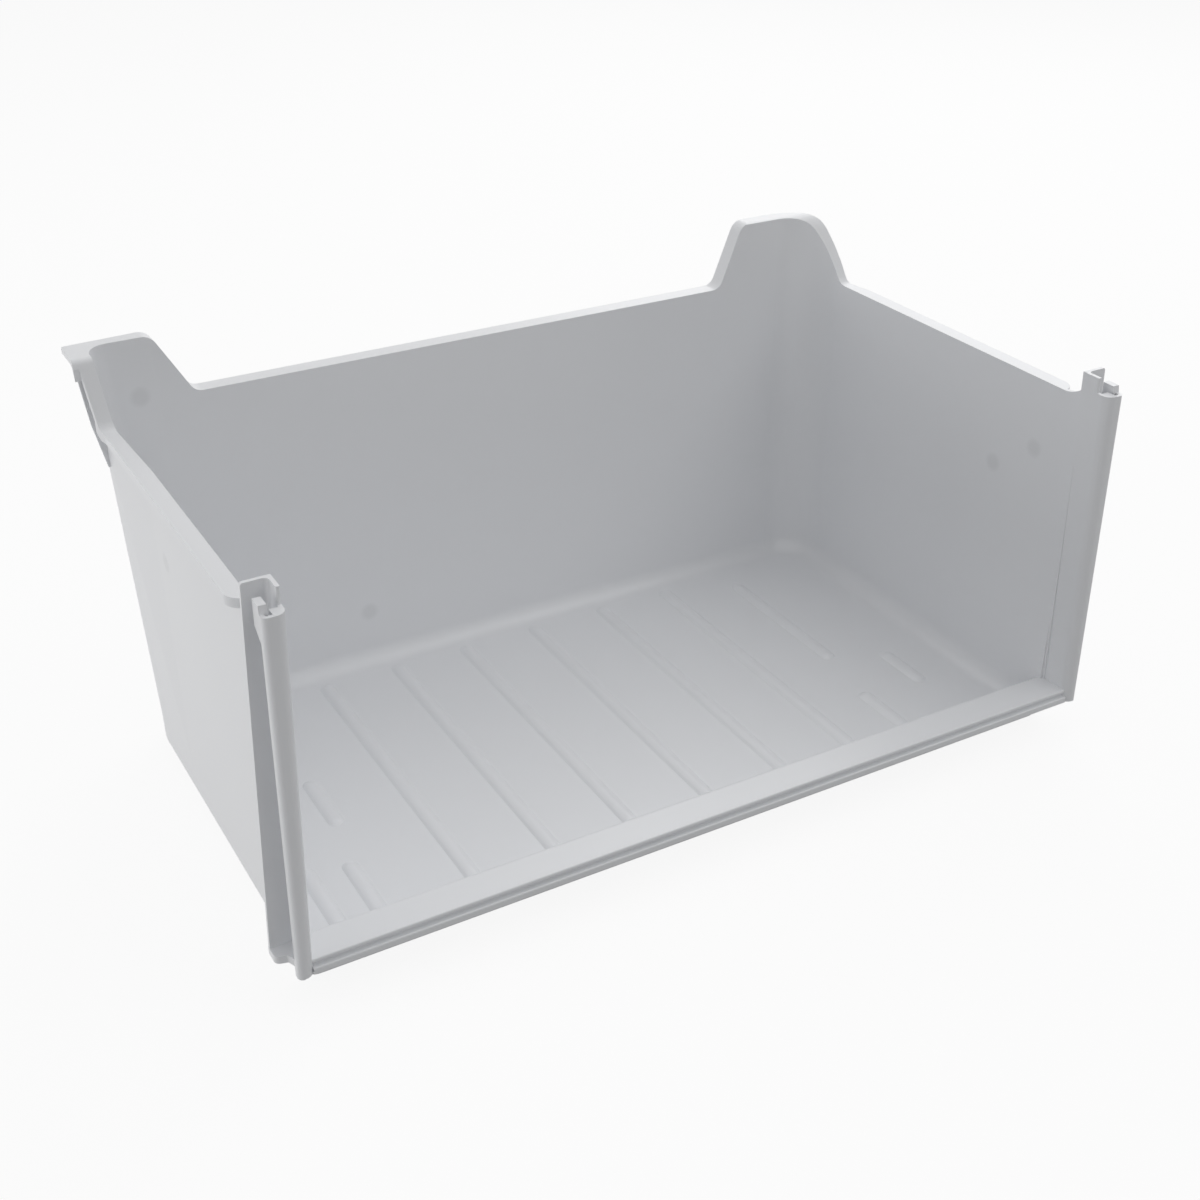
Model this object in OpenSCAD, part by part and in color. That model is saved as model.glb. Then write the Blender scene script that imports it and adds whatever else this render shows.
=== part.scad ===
// Freezer drawer body: one thin-walled moulding, open at the top and at the front.
// X runs across the drawer, Y from front to back, Z up. The floor's underside is z = 0.

/* [Box] */
// Clear width between the side walls at the rim
inner_w = 424; // [380:1:460]
// Clear depth from the front edge to the back wall at the rim
inner_depth = 245.4; // [200:0.2:300]
// Height of the rim above the underside
rim_z = 184.4; // [120:0.2:240]
// Wall and floor thickness
wall = 2.5; // [1.8:0.1:4]
// Draft angle of the walls
draft = 0.7; // [0.3:0.1:3]
// Inner radius of the upright back corners at the rim
corner_r = 27; // [14:1:40]
// Inner radius between walls and floor
floor_r = 10; // [4:1:14]
// Outer radius of the bottom edge
foot_r = 7; // [3:0.5:12]

/* [Rim flange] */
// Outer edge of the side flanges from the middle
rim_out_x = 220.2; // [216:0.2:224]
// Outer edge of the back flange from the front edge
rim_out_y = 255; // [252:0.5:260]
// Outer edge of the flange beside the right ear, which is narrower
right_narrow_x = 217.5; // [216:0.1:220]
// Outer radius of the flange at the right back corner
right_rim_r = 35; // [20:1:45]
// Front end of the side flanges
rim_start_y = 32.5; // [30:0.5:60]
// Rounding of the flanges' front ends
rim_end_r = 8; // [3:0.5:8]
// Thickness of the flange
rim_t = 2.4; // [1.5:0.1:4]
// Depth of the turned-down edge, from the top
rim_drop = 4.5; // [3:0.5:12]
// Thickness of the turned-down edge
rim_lip_t = 1.8; // [1.2:0.1:3]

/* [Ears] */
// Height of the left ear's top
left_ear_z = 217; // [200:0.5:225]
// Height of the right ear's top
right_ear_z = 220.4; // [200:0.2:225]
// Back slope of the left ear: x at the rim and at the top
left_ear_x = [-166.3, -185];
// Back slope of the right ear: x at the rim and at the top
right_ear_x = [145.5, 160];
// Side slope of the left ear: y at the rim and at the top
left_ear_y = [218, 230.5];
// Side slope of the right ear: y at the rim and at the top
right_ear_y = [218.3, 241.5];
// Rounding of the ears' tops towards the back rim
ear_r = 8; // [2:1:12]
// Rounding of the tops towards the side rims: left and right
ear_side_r = [4, 15];
// Fillet where the slopes rise from the rim
rise_r = 7; // [3:1:10]
// Outer corner of the left ear's square plate
left_plate = [-226.5, 251.6];
// Front edge of that plate
plate_front_y = 229; // [225:0.5:232]
// Outer edge of the left ear's side slope
slope_out_x = -223.6; // [-226:0.2:-221]
// Web under the plate's front edge: x and z at its top, its bend and its lower end
web_edge = [[-226.4, 217], [-222.3, 184], [-217.4, 161]];

/* [Left back corner] */
// The corner's inner round over the floor, at the rim and over the ear: [x, radius].
// It gets tighter and leans outwards.
left_corner = [[-185, 24.7], [-204, 10.5], [-206.8, 11]];
// Where the left wall begins to lean outwards, from the front edge
left_start_y = 165; // [100:1:190]
// Where the back wall's straight part ends, left of the middle
back_end_x = 170; // [150:1:180]
// Radius of the rounds at those two places
start_r = 11; // [4:1:14]

/* [Front posts] */
// Height of the posts' underside
post_z = 16; // [0:1:30]
// Height of the raised corner of a post
post_top_z = 200.4; // [180:0.2:230]
// Height of the rolled front bead
bead_top_z = 192.6; // [170:0.2:220]
// Inner face of a post at its foot, from the middle
post_x = 212.4; // [208:0.1:214]
// Outward lean of a post's inner wall from top to foot, in degrees
post_lean = 1.62; // [0:0.01:3]
// Outer face of the bead at its foot, from the middle
bead_x = 220; // [219:0.1:224]
// Outward lean of the bead, in degrees
bead_lean = 0.78; // [0:0.01:2]
// Outer edge of the web at the foot and at the top
web_out_x = [226.5, 219.8];
// Height of the web's underside
web_z = 20.5; // [16:0.5:40]
// Back face of the web, where the side walls begin
web_back_y = 17.6; // [14:0.2:24]
// Front face of the bead
bead_y = -0.8; // [-2:0.1:0]
// Outer radii of the bead's two rounded edges: beside the drawer's inside, and at its free side
bead_r = [5, 2.6];
// Thickness of the post's walls
post_t = 1.8; // [1.2:0.1:3]

/* [Front sill] */
// Height of the sill's top
sill_z = 23; // [18:0.5:40]
// Back edge of the sill's top
sill_back_y = 20.5; // [14:0.5:30]

/* [Floor ribs] */
// Middle of each long rib across the floor
long_rib_x = [-119, -76, -33, 12, 58, 102];
// Front and back end of the long ribs
long_rib_y = [42, 228];
// Short ribs: x, front end, back end
short_ribs = [
  [-187, 41, 81], [-167, 40, 76], [-160, 113, 147], [138, 44, 74], [175, 74, 102], [145, 119, 211]
];
// Radius of the rounded bar that a rib is cut from
rib_r = 6.5; // [2:0.1:10]
// Height of a rib above the floor
rib_h = 1.5; // [0.5:0.1:3]

/* [Hidden] */
$fn = 64;
eps = 0.01;
far = 300;
half_w = inner_w / 2;
axis_x = half_w - corner_r;
axis_y = inner_depth - corner_r;
mid_y = 127.1;
over_z = right_ear_z + 10;
chord_step = 9;
ear_slope = 60;
white = [0.9, 0.91, 0.92];

// Heights at which the left back corner's form is given: over the floor, at the rim, over the ear
corner_z = [wall + floor_r + 2, rim_z - 2, over_z];

function unit(v) = v / norm(v);

// The short chords that round corner q = [x, y, radius] between its neighbours p and s.
function corner_chords(p, q, s) =
  let (c = [q[0], q[1]],
       u = unit([p[0], p[1]] - c),
       v = unit([s[0], s[1]] - c),
       half = acos(u * v) / 2,
       centre = c + unit(u + v) * q[2] / sin(half),
       first = c + u * q[2] / tan(half) - centre,
       start = atan2(first[1], first[0]),
       turn = (cross(u, v) < 0 ? 1 : -1) * (180 - 2 * half),
       steps = ceil(abs(turn) / chord_step))
  [for (i = [0 : steps]) centre + q[2] * [cos(start + turn * i / steps), sin(start + turn * i / steps)]];

// Polygon points with each corner [x, y, radius] rounded; radius 0 keeps it sharp.
function rounded(pts) =
  let (n = len(pts))
  [for (i = [0 : n - 1])
    each (pts[i][2] == 0
      ? [[pts[i][0], pts[i][1]]]
      : corner_chords(pts[(i + n - 1) % n], pts[i], pts[(i + 1) % n]))];

// Runs a Y-Z profile along X from x0 to x1.
module along_x(x0, x1) {
  translate([x0, 0, 0])
    rotate([90, 0, 90])
      linear_extrude(height = x1 - x0)
        children();
}

// Runs an X-Z profile along Y from y0 to y1.
module along_y(y0, y1) {
  translate([0, y1, 0])
    rotate([90, 0, 0])
      linear_extrude(height = y1 - y0)
        children();
}

// Half section of the box from a corner axis outwards: drafted wall, rounded foot.
module half_section(grow, low) {
  function face(z) = corner_r + grow - (rim_z - z) * tan(draft);
  r = grow > 0 ? foot_r : floor_r;
  cz = low + r;
  cx = face(cz) - r / cos(draft);
  foot_z = cz - r * sin(draft);
  intersection() {
    square([2 * corner_r, over_z]);
    union() {
      polygon([[0, low], [cx, low], [face(foot_z), foot_z], [face(over_z), over_z], [0, over_z]]);
      translate([cx, cz]) circle(r = r);
    }
  }
}

// The box as a solid: grow is added to the inner form, low is the bottom's height.
module box_form(grow, low, front_y) {
  along_y(front_y, axis_y) {
    for (side = [0, 1])
      mirror([side, 0]) translate([axis_x, 0]) half_section(grow, low);
    translate([-axis_x - eps, low]) square([2 * axis_x + 2 * eps, over_z - low]);
  }
  translate([0, axis_y, 0]) {
    for (side = [-1, 1])
      translate([side * axis_x, 0, 0]) rotate_extrude() half_section(grow, low);
    along_x(-axis_x, axis_x) half_section(grow, low);
  }
}

// Side view of the rim line with an ear slope from ear_y[0] up to ear_y[1], lowered by d.
function side_line(ear_y, top_z, d, top_r) =
  let (shift = d * tan(ear_slope / 2))
  rounded([
    [-far, -far, 0], [far, -far, 0], [far, top_z - d, 0],
    [ear_y[1] + shift, top_z - d, top_r],
    [ear_y[0] + shift, rim_z - d, rise_r],
    [-far, rim_z - d, 0]
  ]);

// Back view of the rim line with both ears, lowered by d.
function back_line(d) =
  let (shift = d * tan(ear_slope / 2))
  rounded([
    [-far, -far, 0], [far, -far, 0], [far, right_ear_z - d, 0],
    [right_ear_x[1] + shift, right_ear_z - d, ear_r],
    [right_ear_x[0] + shift, rim_z - d, rise_r],
    [left_ear_x[0] - shift, rim_z - d, rise_r],
    [left_ear_x[1] - shift, left_ear_z - d, ear_r],
    [-far, left_ear_z - d, 0]
  ]);

// Everything below the rim line, ears included, lowered by d.
module below_rim(d) {
  intersection() {
    along_y(-far, far) polygon(back_line(d));
    union() {
      along_x(-far, 0) polygon(side_line(left_ear_y, left_ear_z, d, ear_side_r[0]));
      along_x(0, far) polygon(side_line(right_ear_y, right_ear_z, d, ear_side_r[1]));
    }
  }
}

// Plan of the rim's outer edge, drawn in by inset.
module rim_plan(inset) {
  left_x = inset - rim_out_x;
  right_x = rim_out_x - inset;
  narrow_x = right_narrow_x - inset;
  plate_x = left_plate[0] + inset;
  front_y = plate_front_y + inset;
  right_run = 20;
  left_run = 4;
  polygon(rounded([
    [right_x, rim_start_y, rim_end_r - inset],
    [right_x, right_ear_y[0] - right_run, 0],
    [narrow_x, right_ear_y[0], 0],
    [narrow_x, rim_out_y - inset, right_rim_r - inset],
    [left_ear_x[0], rim_out_y - inset, 0],
    [plate_x, left_plate[1] - inset, 2],
    [plate_x, front_y, 0],
    [slope_out_x + inset, front_y, 0],
    [left_x, left_ear_y[0] - left_run, 0],
    [left_x, rim_start_y, rim_end_r - inset]
  ]));
}

// Flange round the rim and over the ears. Its edge turns down, except on the left ear.
module rim_flange() {
  difference() {
    intersection() {
      linear_extrude(height = over_z) rim_plan(0);
      below_rim(0);
    }
    below_rim(rim_drop);
    intersection() {
      below_rim(rim_t);
      union() {
        linear_extrude(height = over_z) rim_plan(rim_lip_t);
        translate([-far, left_ear_y[0] + 4, 0]) cube([far - rim_out_x + rim_lip_t, far, far]);
      }
    }
  }
}

// Upright web that stands under the front edge of the left ear's plate.
module ear_web() {
  front_y = plate_front_y + 0.6;
  intersection() {
    along_y(front_y, front_y + rim_lip_t)
      polygon(concat(web_edge, [[-axis_x, web_edge[2][1]], [-axis_x, left_ear_z]]));
    below_rim(1);
  }
}

// Left back corner of the box, with grow added: one loft up to the rim and one over the ear.
module left_corner_form(grow) {
  gap = 0.1;
  function back_y(z, r) = inner_depth - (rim_z - z) * tan(draft) - r - gap;
  function side_x(z, r) = half_w - (rim_z - z) * tan(draft) - r - gap;
  module disc(x, y, z, r) {
    translate([x, y, z]) cylinder(r = r + grow, h = eps, $fn = 48);
  }
  module section(level) {
    z = corner_z[level];
    x = left_corner[level][0];
    r = left_corner[level][1];
    disc(x, back_y(z, r), z, r);
    disc(-side_x(z, start_r), left_start_y, z, start_r);
    disc(-back_end_x, back_y(z, start_r), z, start_r);
  }
  for (level = [0, 1])
    hull() {
      section(level);
      section(level + 1);
    }
}

// Space inside the drawer, carried out through the open front above the sill.
module cavity() {
  opening_z = sill_z - 3;
  box_form(0, wall, sill_back_y);
  intersection() {
    box_form(0, wall, -web_back_y);
    translate([-far, -far, opening_z]) cube([2 * far, far + 2 * web_back_y, far]);
  }
  left_corner_form(0);
}

// Strip on top of a side wall that rises in a curve from the flange's end to the post.
module wall_rise() {
  low_z = rim_z - 6;
  top_z = rim_z + 7.6;
  front_y = web_back_y - 1;
  back_y = rim_start_y + 1.5;
  along_x(half_w + 0.1, half_w + wall)
    polygon(rounded([
      [front_y, low_z, 0], [back_y, low_z, 0], [back_y, rim_z, 0],
      [web_back_y + 6.4, rim_z, 16], [web_back_y + 1, top_z, 0], [front_y, top_z, 0]
    ]));
}

// Walls and floor with the rim.
module shell() {
  difference() {
    union() {
      intersection() {
        union() {
          box_form(wall, 0, web_back_y - 0.6);
          left_corner_form(wall);
        }
        below_rim(0);
      }
      rim_flange();
      ear_web();
    }
    cavity();
  }
  for (side = [0, 1])
    mirror([side, 0, 0]) wall_rise();
}

// Plan of a post's inner wall: from the bead's rounded edge, or the raised corner's, to the web.
module inner_wall_plan(with_bead) {
  inner_r = 2.2;
  edge_r = 0.8;
  reach = 5;
  raised_y = 7;
  r = bead_r[0];
  back_y = bead_y + post_t;
  front = with_bead
    ? [[0, bead_y, r], [r + eps, bead_y, 0], [r + eps, back_y, 0], [post_t, back_y, r - post_t]]
    : [[0, raised_y, edge_r], [post_t, raised_y, edge_r]];
  polygon(rounded(concat(front, [
    [post_t, web_back_y - post_t, inner_r], [reach, web_back_y - post_t, 0],
    [reach, web_back_y, 0], [0, web_back_y, 0]
  ])));
}

// Plan of the bead's free side, whose edge turns back into the channel.
module bead_plan() {
  edge_y = 4.4;
  edge_r = 0.8;
  r = bead_r[1];
  back_y = bead_y + post_t;
  polygon(rounded([
    [-r - eps, bead_y, 0], [0, bead_y, r], [0, edge_y, edge_r], [-post_t, edge_y, edge_r],
    [-post_t, back_y, r - post_t], [-r - eps, back_y, 0]
  ]));
}

// Flat front of the bead between its two rounded edges, which lean unequally.
module bead_front() {
  bead_h = bead_top_z - post_z;
  inner_x = post_x + bead_r[0];
  outer_x = bead_x - bead_r[1];
  along_y(bead_y, bead_y + post_t)
    polygon([
      [inner_x - eps, post_z], [outer_x + eps, post_z],
      [outer_x + eps - bead_h * tan(bead_lean), bead_top_z],
      [inner_x - eps - bead_h * tan(post_lean), bead_top_z]
    ]);
}

// Plan of the cap that closes the bead's top beside the inner wall.
module bead_cap_plan() {
  cap_x = [0.5, 5.6];
  cap_y = [bead_y + 0.4, 5.6];
  polygon(rounded([
    [cap_x[0], cap_y[0], 4.6], [cap_x[1], cap_y[0], 0], [cap_x[1], cap_y[1], 0.6], [cap_x[0], cap_y[1], 0]
  ]));
}

// Hook at the top of the channel: a tab on the bead's free edge with a slanted lower end.
module hook(top) {
  tab_t = 3.4;
  tab_y = [3, 10.3];
  head_z = top + 3.6;
  along_x(-tab_t, 0)
    polygon([
      [tab_y[0], top - 14], [tab_y[0], top], [tab_y[0] + 0.6, head_z], [tab_y[1], head_z],
      [tab_y[1], top - 8]
    ]);
}

// Foot of a post: a plate under the bead, and a higher one that closes the channel.
module post_foot() {
  foot_t = 4;
  root_x = post_x + 0.5;
  bead_back_y = 5;
  notch_x = bead_x + 1.2;
  translate([0, 0, post_z])
    linear_extrude(height = web_z + foot_t - post_z)
      polygon(rounded([
        [root_x, bead_y + 0.4, 4.4], [bead_x - 0.2, bead_y + 0.4, 2.2], [bead_x - 0.2, bead_back_y, 0.6],
        [root_x, bead_back_y, 0]
      ]));
  translate([0, 0, web_z])
    linear_extrude(height = foot_t)
      polygon(rounded([
        [root_x, web_back_y, 0], [root_x, bead_back_y - 1, 0], [bead_x - 0.4, bead_back_y - 1, 0],
        [notch_x, 8, 1], [web_out_x[0], 9.4, 3], [web_out_x[0], web_back_y, 0]
      ]));
}

// Right-hand post: leaning channel wall, bead with hook, upright web, closed foot.
module post() {
  bead_h = bead_top_z - post_z;
  cap_t = 2.4;
  root_x = post_x - 1;
  translate([post_x, 0, post_z])
    rotate([0, -post_lean, 0]) {
      linear_extrude(height = bead_h) inner_wall_plan(true);
      linear_extrude(height = post_top_z - post_z) inner_wall_plan(false);
      translate([0, 0, bead_h - cap_t]) linear_extrude(height = cap_t) bead_cap_plan();
    }
  translate([bead_x, 0, post_z])
    rotate([0, -bead_lean, 0]) {
      linear_extrude(height = bead_h) bead_plan();
      hook(bead_h);
    }
  bead_front();
  along_y(web_back_y - post_t, web_back_y)
    polygon(rounded([
      [root_x, web_z, 0], [web_out_x[0], web_z, 0],
      [web_out_x[1], post_top_z, 1.2], [root_x - 4, post_top_z, 0]
    ]));
  post_foot();
}

// Front sill: top strip with a round back edge, groove and lip in front.
module sill() {
  low_z = sill_z - wall;
  root_z = sill_z - 6;
  groove_z = [sill_z - 3.6, sill_z - 1.8];
  groove_y = 3;
  top_y = 1.6;
  lip_t = 5.4;
  wall_y = web_back_y - 0.6;
  edge_r = 0.4;
  along_x(-post_x - 0.5, post_x + 0.5)
    polygon(rounded([
      [top_y, sill_z, 2 * edge_r], [sill_back_y, sill_z, wall], [sill_back_y, root_z, 0],
      [wall_y, root_z, 0], [wall_y, low_z, 1], [lip_t, low_z, 1], [lip_t, post_z, 0],
      [0, post_z, edge_r], [0, groove_z[0], 2 * edge_r], [groove_y, groove_z[0], edge_r],
      [groove_y, groove_z[1], edge_r], [top_y, groove_z[1], edge_r]
    ]));
}

// One low rounded rib on the floor.
module rib(x, y0, y1) {
  translate([x, 0, wall + rib_h - rib_r]) {
    along_y(y0, y1) circle(r = rib_r);
    for (y = [y0, y1])
      translate([0, y, 0]) sphere(r = rib_r);
  }
}

module ribs() {
  intersection() {
    union() {
      for (x = long_rib_x)
        rib(x, long_rib_y[0], long_rib_y[1]);
      for (r = short_ribs)
        rib(r[0], r[1], r[2]);
    }
    translate([-axis_x - 10, sill_back_y, wall - 1]) cube([2 * axis_x + 20, axis_y, 2 * rib_h]);
  }
}

module drawer_body() {
  color(white)
    translate([0, -mid_y, 0]) {
      shell();
      sill();
      ribs();
      for (side = [0, 1])
        mirror([side, 0, 0]) post();
    }
}

drawer_body();
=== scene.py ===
"""White moulded freezer drawer on a pale studio floor, seen from its front left."""

import math

import bpy
from mathutils import Matrix, Vector


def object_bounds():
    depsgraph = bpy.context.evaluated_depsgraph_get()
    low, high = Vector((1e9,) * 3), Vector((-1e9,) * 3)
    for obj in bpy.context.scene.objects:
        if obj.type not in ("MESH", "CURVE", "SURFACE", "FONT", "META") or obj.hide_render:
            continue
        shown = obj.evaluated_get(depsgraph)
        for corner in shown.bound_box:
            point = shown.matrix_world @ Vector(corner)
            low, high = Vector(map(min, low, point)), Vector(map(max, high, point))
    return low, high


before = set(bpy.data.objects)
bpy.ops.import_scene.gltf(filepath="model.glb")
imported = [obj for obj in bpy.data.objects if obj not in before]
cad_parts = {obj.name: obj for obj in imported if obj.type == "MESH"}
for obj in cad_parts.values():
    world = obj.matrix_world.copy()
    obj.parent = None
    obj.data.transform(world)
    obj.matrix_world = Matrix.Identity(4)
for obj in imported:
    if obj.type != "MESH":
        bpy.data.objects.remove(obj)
low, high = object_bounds()

# Camera: its place and axes come from the photograph's vanishing lines.
CAMERA_AT = Vector((-0.3668, -0.6431, 0.4986))
CAMERA_YAW = 29.6
CAMERA_PITCH = 29.7
CAMERA_LENS = 49.1
SENSOR = 36.0
NEAREST_SEEN = 0.01

# The plastic's white, and the shade that its darkest parts go towards
WHITE = (0.84, 0.85, 0.87, 1)
SHADE = (0.7224, 0.731, 0.7482, 1)
# The faint flow pattern of the melt: its scale, and what it does to the tone and the gloss
FLOW_SCALE = 7.0
FLOW_TONE = 0.06
FLOW_ROUGHNESS = 0.06
ROUGHNESS = 0.30
# The fine grain of the mould's steel: its scale and its height
GRAIN_SCALE = 900.0
GRAIN_HEIGHT = 0.3
RELIEF_STRENGTH = 0.12
RELIEF_DEPTH = 0.0002
PLASTIC_IOR = 1.5

# Round ejector marks of the mould, in metres. Each is where a ball of the radius MARK_R
# meets one face of a wall, and these are the balls' centres, 6 mm off that face.
MARK_R = 0.0075
MARK_SOFT = 0.0018
MARK_TONE = 0.55
MARK_HEIGHT = 0.4
MARKS = [
    (-0.194, 0.1123, 0.187),
    (-0.085, 0.1105, 0.035),
    (0.2053, -0.052, 0.128),
    (0.2055, -0.080, 0.147),
    (-0.2200, 0.028, 0.142),
]

# The studio floor: the grey that it gives back as light, the white that is seen, and how much
# of that white is even and without shadow.
FLOOR_GREY = (0.40, 0.40, 0.40, 1)
FLOOR_WHITE = (0.95, 0.95, 0.95, 1)
FLOOR_EVEN = 0.90
FLOOR_ROUGHNESS = 0.9
FLOOR_SIZE = 40
FLOOR_GAP = 0.0004

# Strength of the soft light from all around
FILL = 0.41
# Soft boxes, all turned to this point: name, place, width, depth and watts
LIT_POINT = Vector((0, 0, 0.1))
SOFT_BOXES = [
    ("top_box", (0.15, 0.55, 1.9), 1.8, 1.5, 5.6),
    ("front_box", (1.1, -0.9, 1.7), 1.4, 1.2, 6.2),
    ("back_box", (1.3, 1.2, 1.3), 1.4, 1.2, 9.6),
    ("low_box", (-1.2, 0.2, 0.2), 1.2, 0.4, 3.6),
]


class Value:
    """A shader value with operators: an expression on values adds its Math nodes."""

    def __init__(self, tree, socket):
        self.tree = tree
        self.socket = socket

    def maths(self, operation, *others):
        """This value and others, sockets or plain numbers, put through one Math node."""
        sockets = dict(enumerate((self,) + others))
        return self.tree.value("ShaderNodeMath", {"operation": operation}, sockets)

    def __add__(self, other):
        return self.maths("ADD", other)

    __radd__ = __add__

    def __sub__(self, other):
        return self.maths("SUBTRACT", other)

    def __rsub__(self, other):
        return (self * -1) + other

    def __mul__(self, other):
        return self.maths("MULTIPLY", other)

    __rmul__ = __mul__

    def below(self, limit, soft):
        """1 where the value is under limit, falling to 0 over the width soft."""
        ramp = (self - limit) * (-1 / soft) + 0.5
        return ramp.maths("MAXIMUM", 0.0).maths("MINIMUM", 1.0)


class Tree:
    """The node tree of a new material or world."""

    def __init__(self, owner):
        owner.use_nodes = True
        self.nodes = owner.node_tree.nodes
        self.links = owner.node_tree.links

    def plug(self, node, sockets):
        """Gives a node's sockets their plain values or their links."""
        for name, given in sockets.items():
            if isinstance(given, Value):
                self.links.new(given.socket, node.inputs[name])
            elif isinstance(given, bpy.types.NodeSocket):
                self.links.new(given, node.inputs[name])
            else:
                node.inputs[name].default_value = given

    def add(self, kind, settings=None, sockets=None):
        """A new node with its settings and its sockets."""
        node = self.nodes.new(kind)
        for name, setting in (settings or {}).items():
            setattr(node, name, setting)
        self.plug(node, sockets or {})
        return node

    def value(self, kind, settings=None, sockets=None, output=0):
        """The same, as a value to reckon with."""
        return Value(self, self.add(kind, settings, sockets).outputs[output])

    def noise(self, place, scale, detail):
        """A noise value over the surface."""
        sockets = {"Vector": place, "Scale": scale, "Detail": detail}
        return self.value("ShaderNodeTexNoise", None, sockets)

    def distance(self, place, point):
        """Distance from a fixed point, in metres."""
        settings = {"operation": "DISTANCE"}
        return self.value("ShaderNodeVectorMath", settings, {0: place, 1: point}, "Value")

    def mixed(self, share, first, second):
        """Colour between first and second."""
        sockets = {"Factor": share, "A": first, "B": second}
        return self.add("ShaderNodeMix", {"data_type": "RGBA"}, sockets).outputs["Result"]

    def seen(self):
        """1 for rays from the camera, in a reflection or through glass, 0 for light's bounces."""
        path = self.add("ShaderNodeLightPath")
        camera, glossy, through = (
            Value(self, path.outputs[ray])
            for ray in ("Is Camera Ray", "Is Glossy Ray", "Is Transmission Ray")
        )
        return camera.maths("MAXIMUM", glossy).maths("MAXIMUM", through)


def white_plastic():
    """Satin white polystyrene with a faint flow pattern and the mould's ejector marks."""
    material = bpy.data.materials.new("white_plastic")
    tree = Tree(material)
    place = tree.add("ShaderNodeTexCoord").outputs["Object"]
    flow = tree.noise(place, FLOW_SCALE, 2.0)
    grain = tree.noise(place, GRAIN_SCALE, 1.0)
    marks = sum(tree.distance(place, centre).below(MARK_R, MARK_SOFT) for centre in MARKS)
    relief = tree.add("ShaderNodeBump", None, {
        "Strength": RELIEF_STRENGTH,
        "Distance": RELIEF_DEPTH,
        "Height": grain * GRAIN_HEIGHT + marks * MARK_HEIGHT,
    })
    tree.plug(tree.nodes["Principled BSDF"], {
        "Base Color": tree.mixed(marks * MARK_TONE + flow * FLOW_TONE, WHITE, SHADE),
        "Roughness": flow * FLOW_ROUGHNESS + ROUGHNESS,
        "IOR": PLASTIC_IOR,
        "Normal": relief.outputs["Normal"],
    })
    return material


def pale_floor():
    """Studio floor that looks white and keeps a soft part of the object's shadow."""
    material = bpy.data.materials.new("pale_floor")
    tree = Tree(material)
    seen = tree.seen()
    matt = tree.nodes["Principled BSDF"]
    tree.plug(matt, {
        "Base Color": tree.mixed(seen, FLOOR_GREY, FLOOR_WHITE),
        "Roughness": FLOOR_ROUGHNESS,
        "Specular IOR Level": 0.0,
    })
    even = tree.add("ShaderNodeEmission", None, {"Strength": 1.0})
    surface = tree.add("ShaderNodeMixShader", None, {
        "Fac": seen * FLOOR_EVEN,
        1: matt.outputs["BSDF"],
        2: even.outputs["Emission"],
    })
    tree.plug(tree.nodes["Material Output"], {"Surface": surface.outputs["Shader"]})
    return material


def studio_floor():
    """One large plain sheet under the drawer."""
    bpy.ops.object.select_all(action="DESELECT")
    bpy.ops.mesh.primitive_plane_add(size=FLOOR_SIZE, location=(0, 0, low[2] - FLOOR_GAP))
    floor = bpy.context.object
    floor.name = "studio_floor"
    floor.data.materials.append(pale_floor())


def studio_world():
    """Soft light from all around, white where it is seen."""
    world = bpy.data.worlds.new("studio")
    bpy.context.scene.world = world
    tree = Tree(world)
    tree.plug(tree.nodes["Background"], {
        "Color": (1, 1, 1, 1),
        "Strength": tree.seen() * (1 - FILL) + FILL,
    })


def studio_lights():
    """Large soft boxes: above, at the right in front and behind, and low at the left."""
    for name, at, width, depth, watts in SOFT_BOXES:
        light = bpy.data.lights.new(name, "AREA")
        light.shape = "RECTANGLE"
        light.size = width
        light.size_y = depth
        light.energy = watts
        lamp = bpy.data.objects.new(name, light)
        lamp.location = at
        lamp.rotation_euler = (LIT_POINT - Vector(at)).to_track_quat("-Z", "Y").to_euler()
        bpy.context.scene.collection.objects.link(lamp)


def studio_camera():
    """The photograph's camera."""
    camera = bpy.data.cameras.new("camera")
    camera.sensor_width = SENSOR
    camera.lens = CAMERA_LENS
    camera.clip_start = NEAREST_SEEN
    eye = bpy.data.objects.new("camera", camera)
    turn = Matrix.Rotation(math.radians(-CAMERA_YAW), 4, "Z")
    tilt = Matrix.Rotation(math.radians(90 - CAMERA_PITCH), 4, "X")
    eye.matrix_world = Matrix.Translation(CAMERA_AT) @ turn @ tilt
    bpy.context.scene.collection.objects.link(eye)
    bpy.context.scene.camera = eye


def dress_drawer():
    """Gives the moulding its plastic."""
    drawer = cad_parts["drawer_body"]
    drawer.data.materials.clear()
    drawer.data.materials.append(white_plastic())


bpy.context.scene.view_settings.view_transform = "Standard"
dress_drawer()
studio_floor()
studio_world()
studio_lights()
studio_camera()
